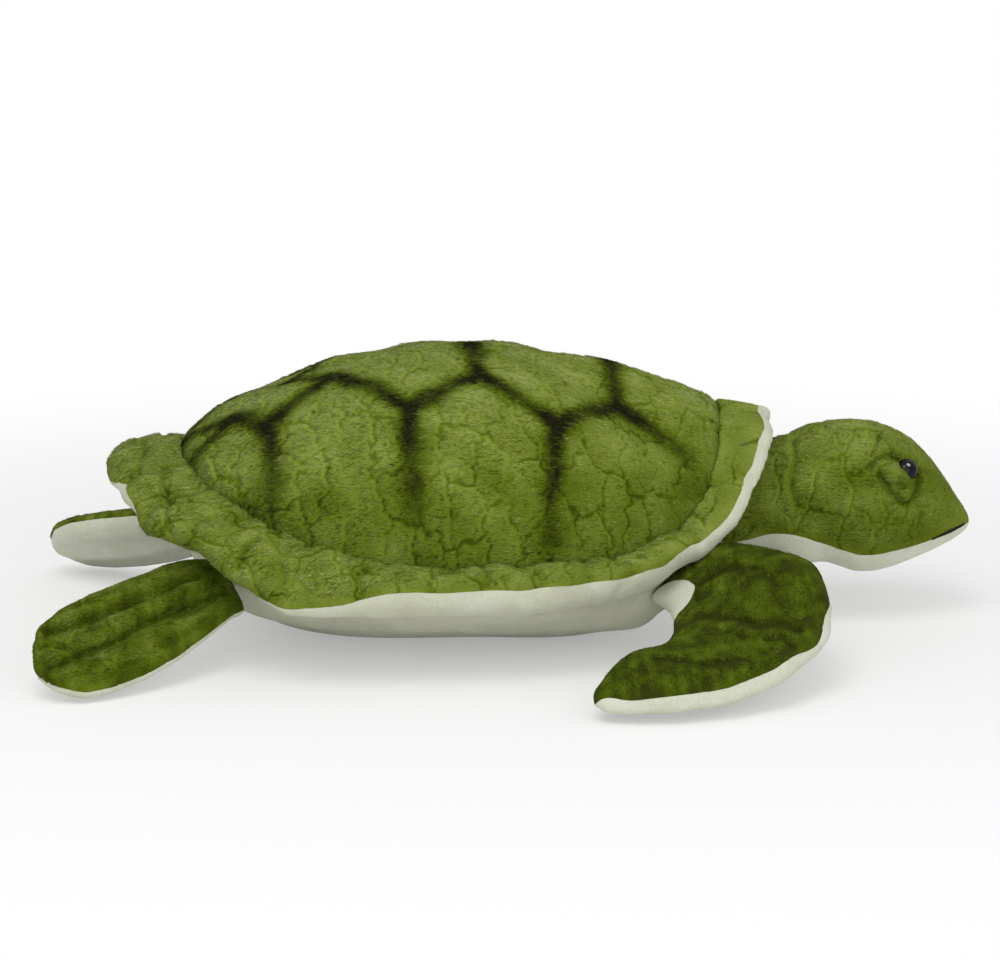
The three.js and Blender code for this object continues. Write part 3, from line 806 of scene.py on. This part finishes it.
def sprayed(at, surface):  # how much of the sprayed lines lies at each point
    dots = []
    for start, end in lines:
        a, b = Vector(lineJoints[start]), Vector(lineJoints[end])
        fades = end.endswith("Flank") or end in ("neckEnd", "tailRim")
        for step in range(spray["steps"] + 1):
            along = step / spray["steps"]
            spot = a.lerp(b, along)
            way = (spot - Vector((spot.x, 0, spray["height"]))).normalized()
            dot = surface.ray_cast(spot + way * spray["start"], -way)[0]
            thin = spray["thin"] * math.sin(math.pi * along)
            weight = 1 - (spray["fade"] * along ** spray["fadePower"] if fades else thin)
            for side in (1, -1):
                dots.append((dot.x, dot.y * side, dot.z, weight))
    dots = np.array(dots)
    waves = [ripple(at, spray["wanderSize"], 60 + axis) for axis in range(3)]
    bent = at + np.stack(waves, 1) * spray["wander"]
    best = np.zeros(len(at))
    for start in range(0, len(at), spray["batch"]):
        batch = slice(start, start + spray["batch"])
        away = np.linalg.norm(bent[batch, None] - dots[None, :, :3], axis=2)
        best[batch] = (bell(away, spray["width"]) * dots[None, :, 3]).max(1)
    return np.clip(spray["strength"] * best * (1 + spray["patchy"] * ripple(at, spray["patch"], 77)), 0, 1)


def makeShell():
    nodes = ("carapace_cover", "plastron_cover", "body_stuffing")
    form = stuffed("body_form", nodes, shell)
    pull(form, onForm(shell["pulls"], form))
    top, under = halves(form, nodes, None, ("carapace", "plastron"))
    wave = shell["wave"] * ripple(places(top.data), shell["waveSize"], 3)
    creases, fold = pressCreases(top, shell, wave=wave)
    at, light = places(top.data), shading(top, shell, fold)
    shadePools = shell["shadePools"]
    shadePool = ramp(ripple(at, shadePools["size"], 6), *shadePools["ripple"]) * fade(at[:, 2], *shadePools["height"])
    # painted shade, in patches low on the flanks
    light -= shadePools["shade"] * shadePool
    light *= 1 - spray["dark"] * sprayed(at, treeOf(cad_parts["carapace_cover"].data))
    setField(top.data, "light", light)
    belly = shell["belly"]
    shadeWhite(under, belly["light"], belly["patch"], 8)
    swell(under, lambda at: belly["wave"] * ripple(at, belly["waveSize"], 9) * ramp(at[:, 2], *belly["flat"]))
    dress(top, sprayedGreen, "green_plush", "body", shell["fill"], "carapace_cover", "body_stuffing")
    dress(under, white, "white_plush", "body", belly["fill"], "plastron_cover")
    for name, seed, side in (("carapace_pile_front", 100, 1), ("carapace_pile_rear", 200, -1)):
        settings = dict(shell["pile"], seed=seed)
        allowed = lambda at: at[:, 0] * side > 0
        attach(growPile(name, top, settings, oneWay(shell["nap"]), creases, allowed), "body")
    print("shell made")


# Brim

brim = {
    "voxel": 2.6 * mm,
    "rounds": 6,
    "fill": 0.7,
    "middle": (-0.0035, 0),
    "tucks": (21, 38, 56, 64, 76, 87, 99, 114, 130, 146, 157, 166),  # degrees from the neck, on each side
    "tuckDepth": 1.7 * mm,
    "tuckWidth": 2.8 * mm,
    "tuckShift": 2,  # degrees, and how far they wander
    "tuckWander": 2.2,
    "tuckWanderSize": 38 * mm,
    "tuckBelow": 0.3,  # of their depth, on the lining
    "tuckFacing": (-0.1, 0.6),  # how far up the cloth faces, from there to where they are whole
    "tuckShade": 0.10,
    "tuckShadeWidth": 4 * mm,
    "puff": 1.7 * mm,
    "wave": 0.8 * mm,
    "waveSize": 32 * mm,
    "creases": {"cells": 27 * mm, "seed": 13, "wander": 2.4 * mm,
                "width": 1.0 * mm, "depth": 0.7 * mm, "shade": 1},
    "press": 2.6 * mm,  # how far it leans on the dome, where it faces inward, and from what height
    "pressFacing": (0.2, 0.7),
    "pressHeight": (0.07, 0.09),
    # how far the lining comes up round the edge, at the sides and at the neck, and between what angles
    "whiteEdge": (3.6 * mm, 4.4 * mm),
    "neckAngle": (35, 60),
    "tailAngle": (108, 116),
    "collarEdge": 5 * mm,  # further, where the collar's edge looks forward
    "collarAngle": (38, 48),
    "collarFacing": (0.25, 0.7),
    "edgeWave": 0.4 * mm,
    "edgeWaveSize": 25 * mm,
    # pixel, change of the edge, radius
    "edges": [((152, 524), -9 * mm, 15 * mm), ((122, 493), 8 * mm, 11 * mm), ((200, 552), -6 * mm, 22 * mm),
              ((236, 578), -6 * mm, 20 * mm)],
    # pixel, move, radius: a lobe of the flap hangs on each side of the tail
    "pulls": [((150, 515), (-0.003, -0.002, -0.009), 16 * mm), ((766, 410), (-0.005, 0, -0.002), 12 * mm),
              ((690, 560), (-0.004, 0, 0.005), 24 * mm), ((640, 580), (0, 0, 0.004), 16 * mm)],
    "folds": {
        "lap": ([(168, 466), (163, 483), (168, 503), (167, 520), (171, 533)], 2.2 * mm, 2.6 * mm),
        "shelf": ([(168, 503), (180, 505), (190, 502)], 1.6 * mm, 1.4 * mm),
        "notch": ([(146, 450), (137, 472), (128, 486)], 2.6 * mm, 2.4 * mm),
        "overlap": ([(271, 523), (256, 540), (245, 553), (238, 568)], 2.4 * mm, 3.0 * mm),
    },
    "light": 0.60,
    # painted light: lighter where it faces up
    "crown": (0.08, 0.4, 0.9),
    "patches": [(0.05, 22 * mm, 15)],
    "foldShade": 0.2,
    "whiteLight": 0.12,
    "nap": (-1, 0.5, -0.35),  # on the left side
    "pile": {"count": 49500, "length": 4.4 * mm, "width": 0.72 * mm, "lift": 12, "mottle": 0.17,
             "streak": 0.10, "seed": 300, "darkest": 2},
}


def aroundShell(at):  # degrees from the neck
    return np.degrees(np.arctan2(at[:, 1] - brim["middle"][1], at[:, 0] - brim["middle"][0]))


def brimFolds(at):  # tucks across the brim, with a puff between each two
    angle = aroundShell(at)
    wander = brim["tuckWander"] * ripple(at, brim["tuckWanderSize"], 44)
    angle = angle + wander + brim["tuckShift"] * np.sign(angle)
    radius = np.linalg.norm(at[:, :2], axis=1)
    edges = np.array(sorted([-t for t in brim["tucks"]] + list(brim["tucks"])), float)
    after = np.searchsorted(edges, angle) % len(edges)
    low, high = edges[after - 1], edges[after]
    low, high = np.where(low > angle, low - 360, low), np.where(high < angle, high + 360, high)
    share = (angle - low) / (high - low)
    away = np.radians(np.minimum(angle - low, high - angle)) * radius
    puff = np.sqrt(np.clip(4 * share * (1 - share), 0, 1))
    return brim["puff"] * (puff - 0.5) - brim["tuckDepth"] * bell(away, brim["tuckWidth"]), away


def whiteEdge(at, up):  # how far the lining comes up at each point
    angle = np.abs(aroundShell(at))
    side, neck = brim["whiteEdge"]
    rise = side + (neck - side) * fade(angle, *brim["neckAngle"])
    rise += brim["collarEdge"] * fade(angle, *brim["collarAngle"]) * ramp(up[:, 0], *brim["collarFacing"])
    rise *= fade(angle, *brim["tailAngle"])
    rise += shifts(onRight(at), measured["brim"])
    return rise + brim["edgeWave"] * ripple(at, brim["edgeWaveSize"], 45)


def brimNap(at):  # to the tail, and outward on either side
    return (np.sign(at[:, 1:2]) * (0, 1, 0) + (1, 0, 1)) * brim["nap"]


def makeBrim():
    nodes = ("brim_top", "brim_underside", "brim_stuffing")
    form = stuffed("brim_form", nodes, brim)
    pull(form, onForm(brim["pulls"], form))
    paths = foldPaths(brim["folds"], form)
    measured["brim"] = onForm(brim["edges"], form)
    at, facing = places(form.data), normals(form.data)
    inward = -(facing[:, :2] * at[:, :2]).sum(1) / np.linalg.norm(at[:, :2], axis=1)
    press = brim["press"] * ramp(inward, *brim["pressFacing"]) * ramp(at[:, 2], *brim["pressHeight"])
    least = brim["tuckBelow"]
    tucked = least + (1 - least) * ramp(facing[:, 2], *brim["tuckFacing"])
    wave = brim["wave"] * ripple(at, brim["waveSize"], 42)
    swell(form, lambda at: brimFolds(at)[0] * tucked + wave + press)
    top, under = halves(form, nodes, whiteEdge, ("brim", "brim_lining"))
    creases, fold = pressCreases(top, brim, paths)
    tuckShade = brim["tuckShade"] * bell(brimFolds(places(top.data))[1], brim["tuckShadeWidth"])
    setField(top.data, "light", shading(top, brim, fold, paths) - tuckShade)
    dressPair(top, under, "body", brim, nodes)
    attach(growPile("brim_pile", top, brim["pile"], brimNap, creases), "body")
    print("brim made")


# Head

headLook = {
    "voxel": 2.2 * mm,
    "rounds": 8,
    "fill": 0.85,
    "creases": {"cells": 23 * mm, "squeeze": (1.1, 0.8, 0.7), "seed": 17, "wander": 2 * mm,
                "width": 0.9 * mm, "depth": 0.5 * mm, "shade": 0.7},
    "creasesEnd": (0.27, 0.31),  # the nose has none
    "light": 0.56,
    # painted light: lighter where it faces up
    "crown": (0.12, 0.35, 0.9),
    # painted shade: darker low down
    "foot": (0.08, 0.06, 0.085),
    "patches": [(0.06, 24 * mm, 19)],
    "foldShade": 0.24,
    "eyeShade": 0.12,  # round each eye
    "eyeShadeWidth": 14 * mm,
    "whiteLight": 0.5,
    "nap": (-1, 0, -0.1),
    "pile": {"count": 49500, "length": 3.8 * mm, "width": 0.62 * mm, "lift": 10, "mottle": 0.17,
             "streak": 0.11, "seed": 400, "darkest": 2},
    "pulls": [((961, 522), (0.004, 0, 0), 14 * mm), ((806, 548), (0, 0, -0.008), 20 * mm)],
    "edges": [((798, 545), 11 * mm, 24 * mm), ((728, 535), -8 * mm, 13 * mm)],
    "neckStart": 0.158,
    "bumps": {  # swellings of the cloth: pixel of the photograph, height, radius
        "socket": ((911, 465), -1.0 * mm, 8 * mm),
        "brow": ((890, 447), 2.2 * mm, 6.5 * mm), "browFront": ((906, 450), 1.6 * mm, 6 * mm),
        "pouch": ((883, 468), 2.8 * mm, 6 * mm), "pouchMiddle": ((894, 477), 4.0 * mm, 5.5 * mm),
        "pouchFront": ((902, 478), 4.4 * mm, 5 * mm), "pouchLow": ((905, 494), 2.8 * mm, 5 * mm),
        "snout": ((930, 490), 1.0 * mm, 9 * mm),
        "throat": ((796, 545), 3.0 * mm, 17 * mm), "jaw": ((862, 562), 2.2 * mm, 16 * mm),
    },
    "folds": {  # pixels of the photograph, width and depth
        "brow": ([(868, 469), (877, 459), (889, 456), (898, 459)], 1.8 * mm, 2.6 * mm),
        "front": ([(914, 464), (920, 478), (917, 492), (906, 504)], 2.2 * mm, 1.8 * mm),
        "pouchBack": ([(879, 474), (884, 484), (892, 495), (903, 505)], 2.0 * mm, 2.0 * mm),
        "brim": ([(882, 432), (877, 445), (871, 457)], 1.2 * mm, 1.5 * mm),
        "crown": ([(838, 428), (852, 430), (866, 428), (880, 432)], 1.2 * mm, 1.2 * mm),
        "snout": ([(914, 500), (921, 512), (918, 528)], 2.0 * mm, 1.0 * mm),
        "neck": ([(792, 441), (795, 462), (790, 485), (796, 505)], 2.4 * mm, 1.0 * mm),
    },
    "eye": {"middle": (0.2871, -0.0300, 0.1037), "radius": 7.3 * mm, "rise": 5.8 * mm,
            "shank": 2 * mm, "length": 15.8 * mm, "proud": -0.8 * mm, "rings": 12, "steps": 48},
    "mouth": {"fatter": 0.3 * mm, "thinner": 0.6 * mm, "taper": 14 * mm,  # at the nose, at its ends
              "sunk": 0.6 * mm, "sunkFrom": 0.316, "sunkOver": 0.016, "narrower": 0.9 * mm / 0.026},
}


def eyeAxis(node):  # the top of a packed eye's dome, and the way it faces
    corners = places(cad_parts[node].data)
    away = np.linalg.norm(corners[:, None] - corners[None], axis=2)
    ends = np.unravel_index(away.argmax(), away.shape)
    top = max(ends, key=lambda i: abs(corners[i, 1]))
    foot = corners[away[top] > away.max() - 0.2 * mm].mean(0)
    return Vector(corners[top]), Vector(corners[top] - foot).normalized()


def makeEye(name, node):
    look = headLook["eye"]
    top, out = eyeAxis(node)
    bm = bmesh.new()
    turns = [math.pi / 2 * ring / look["rings"] for ring in range(look["rings"] + 1)]
    outline = [(look["radius"] * math.sin(t), look["rise"] * (math.cos(t) - 1)) for t in turns]
    outline += [(look["shank"], -look["rise"]), (look["shank"], -look["length"]), (0, -look["length"])]
    profile = [bm.verts.new((r, 0, z)) for r, z in outline]
    edges = [bm.edges.new(pair) for pair in zip(profile, profile[1:])]
    bmesh.ops.spin(bm, geom=profile + edges, cent=(0, 0, 0), axis=(0, 0, 1), angle=math.tau,
                   steps=look["steps"], use_merge=True)
    bmesh.ops.remove_doubles(bm, verts=bm.verts, dist=0.01 * mm)
    bmesh.ops.recalc_face_normals(bm, faces=bm.faces)
    bmesh.ops.rotate(bm, verts=bm.verts, matrix=out.to_track_quat("Z", "Y").to_matrix())
    bmesh.ops.translate(bm, verts=bm.verts, vec=top + out * look["proud"])
    for face in bm.faces:
        face.smooth = True
    dress(newPiece(name, bm), eyeBlack, "eye_plastic", "head", None, node)


def makeMouth():
    look = headLook["mouth"]
    bm = bmesh.new()
    bm.from_mesh(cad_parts["mouth_stitch"].data)
    bmesh.ops.remove_doubles(bm, verts=bm.verts, dist=0.001 * mm)
    bmesh.ops.subdivide_edges(bm, edges=bm.edges, cuts=1, smooth=0.6, use_grid_fill=True)
    bm.normal_update()
    back = min(vert.co.x for vert in bm.verts)
    for vert in bm.verts:  # thicker at the nose, and drawn into the pile
        share = min(1, (vert.co.x - back) / look["taper"])
        vert.co += vert.normal * (look["fatter"] * share - look["thinner"] * (1 - share))
        vert.co.x -= look["sunk"] * max(0, vert.co.x - look["sunkFrom"]) / look["sunkOver"]
        vert.co.y *= 1 - look["narrower"]
    for face in bm.faces:
        face.smooth = True
    dress(newPiece("mouth_line", bm), mouthThread, "mouth_thread", "head", None, "mouth_stitch")


def makeHead():
    nodes = ("head_cover", "chin_cover", "head_stuffing")
    form = stuffed("head_form", nodes, headLook)
    bumps = onForm(headLook["bumps"].values(), form)
    swell(form, lambda at: shifts(onRight(at), bumps, 3))
    pull(form, onForm(headLook["pulls"], form))
    paths = foldPaths(headLook["folds"], form)
    edges = onForm(headLook["edges"], form)
    rise = lambda at, up: shifts(onRight(at), edges)
    top, under = halves(form, nodes, rise, ("head", "chin"))
    share = fade(places(top.data)[:, 0], *headLook["creasesEnd"])
    creases, fold = pressCreases(top, headLook, paths, share)
    fromEye = lambda at: np.linalg.norm(onRight(at) - headLook["eye"]["middle"], axis=1)
    eyeShade = headLook["eyeShade"] * bell(fromEye(places(top.data)), headLook["eyeShadeWidth"])
    setField(top.data, "light", shading(top, headLook, fold, paths) - eyeShade)
    dressPair(top, under, "head", headLook, nodes)
    allowed = lambda at: (at[:, 0] > headLook["neckStart"]) * (fromEye(at) > headLook["eye"]["radius"])
    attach(growPile("head_pile", top, headLook["pile"], oneWay(headLook["nap"]), creases, allowed), "head")
    for side in ("right", "left"):
        makeEye(f"{side}_eye_button", f"eye_{side}")
        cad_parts[f"eye_washer_{side}"].material_slots[0].material = washerGrey
    makeMouth()
    print("head made")


# Flippers

limb = {  # what the front and rear flippers share
    "voxel": 2.2 * mm,
    "rounds": 8,
    "fill": 0.75,
    "creases": {"cells": 27 * mm, "seed": 21, "wander": 2.2 * mm,
                "width": 1.0 * mm, "depth": 0.6 * mm, "shade": 0.5},
    "creased": 0.6,  # how much of their creases shows
    # painted light: lighter where it faces up
    "crown": (0.1, 0.5, 0.95),
    "patches": [(0.06, 24 * mm, 27), (0.05, 9 * mm, 28)],
    "whiteLight": 0.5,
    "whiteFacing": (0.0, 0.6),  # how far it faces the white side where the lining comes up
    "rootEnd": (0.8, 1.2),  # where the root ends, in shares of its radius
    "pile": {"length": 4.2 * mm, "width": 0.68 * mm, "lift": 11, "mottle": 0.12, "streak": 0.08,
             "darkest": 1},
}
flippers = {
    "front": {
        "light": 0.24, "foldShade": 0.2, "nap": (-0.1, -0.95, -0.26), "count": 24000, "seed": 500,
        "whiteSide": (0.75, -0.66, 0), "whiteEdge": 7 * mm,
        "root": [((674, 598), 45 * mm, 14 * mm)],  # the lining comes up over it
        "edges": [((804, 580), -7 * mm, 26 * mm), ((810, 636), -5 * mm, 15 * mm),
                  ((600, 704), 4 * mm, 10 * mm)],
        "pulls": [((788, 585), (0.005, 0, 0.015), 42 * mm), ((722, 562), (0, 0, 0.008), 26 * mm),
                  ((638, 676), (-0.001, 0, 0.013), 30 * mm), ((602, 704), (-0.002, 0, 0.003), 12 * mm),
                  ((816, 630), (0.005, 0, -0.001), 16 * mm)],
        "folds": {  # pixels of the photograph, width and depth
            "shoulder": ([(700, 583), (723, 570), (738, 567), (759, 569), (774, 584)], 3.0 * mm, 1.9 * mm),
            "shoulderLow": ([(698, 600), (712, 594), (728, 594)], 2.4 * mm, 0.7 * mm),
            "elbow": ([(696, 617), (723, 617), (759, 626), (780, 624), (800, 631)], 3.0 * mm, 1.8 * mm),
            "elbowLow": ([(768, 640), (782, 638), (792, 648)], 2.6 * mm, 1.4 * mm),
            "elbowTop": ([(704, 630), (725, 632), (745, 638)], 2.4 * mm, 0.7 * mm),
            "palm": ([(656, 658), (684, 660), (706, 664), (738, 660)], 3.0 * mm, 1.7 * mm),
            "edge": ([(809, 590), (812, 604), (813, 618)], 2.0 * mm, 0.7 * mm),
        },
    },
    "rear": {
        "light": 0.39, "foldShade": 0.12, "nap": (-0.85, -0.49, -0.16), "count": 20000, "seed": 600,
        "whiteSide": (0.35, -0.93, 0), "whiteEdge": 2.5 * mm, "root": [], "edges": [],
        "pulls": [((194, 574), (0, 0, 0.007), 26 * mm)],
        "folds": {
            "upper": ([(44, 633), (70, 627), (93, 620), (127, 605), (175, 584), (196, 577)],
                      2.6 * mm, 4.2 * mm),
            "lower": ([(52, 668), (81, 656), (106, 648), (150, 624), (190, 609), (214, 597)],
                      2.6 * mm, 4.0 * mm),
            "tip": ([(40, 650), (52, 647), (64, 650)], 1.6 * mm, 1.2 * mm),
        },
    },
}


def makeFlipper(end, side):
    look = {**limb, **flippers[end]}
    body = f"{end}_flipper_{side}"
    nodes = [f"{body}_{part}" for part in ("top", "underside", "stuffing")]
    form = stuffed(f"{body}_form", nodes, look)
    mirror = np.array((1, 1 if side == "right" else -1, 1))
    whiteSide = np.array(look["whiteSide"]) * mirror
    if side == "right":
        moves = onForm(look["pulls"], form)
        pull(form, moves)
        measured[end] = (moves, onForm(look["root"], form), onForm(look["edges"], form),
                         foldPaths(look["folds"], form))
    else:
        pull(form, measured[end][0])
    root, edges, paths = measured[end][1:]

    def rise(at, up):
        outer = ramp(up @ whiteSide, *look["whiteFacing"])
        height = look["whiteEdge"] * outer
        at = at * mirror
        for spot, change, radius in root:
            height += change * fade(np.linalg.norm(at - spot, axis=1) / radius, *look["rootEnd"])
        for spot, change, radius in edges:
            share = outer if change < 0 else 1
            height += change * share * bell(np.linalg.norm(at - spot, axis=1), radius)
        return height

    top, under = halves(form, nodes, rise, (f"{body}_back", f"{body}_sole"))
    creases, fold = pressCreases(top, look, paths, look["creased"])
    setField(top.data, "light", shading(top, look, fold, paths))
    dressPair(top, under, body, look, nodes)
    settings = dict(look["pile"], count=look["count"], seed=look["seed"])
    nap = oneWay(np.array(look["nap"]) * mirror)
    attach(growPile(f"{body}_pile", top, settings, nap, creases), body)
    print(body, "made")


makeStudio()
makeCamera()
green, sprayedGreen = greenCloth("green_plush_cloth", 1), greenCloth("sprayed_plush_cloth", 0)
white, shades = whiteCloth(), pileShades()
eyeBlack, washerGrey, mouthThread = eyePlastic(), washerPlastic(), stitchThread()
makeShell()
makeBrim()
makeHead()
for end in ("front", "rear"):
    for side in ("right", "left"):
        makeFlipper(end, side)
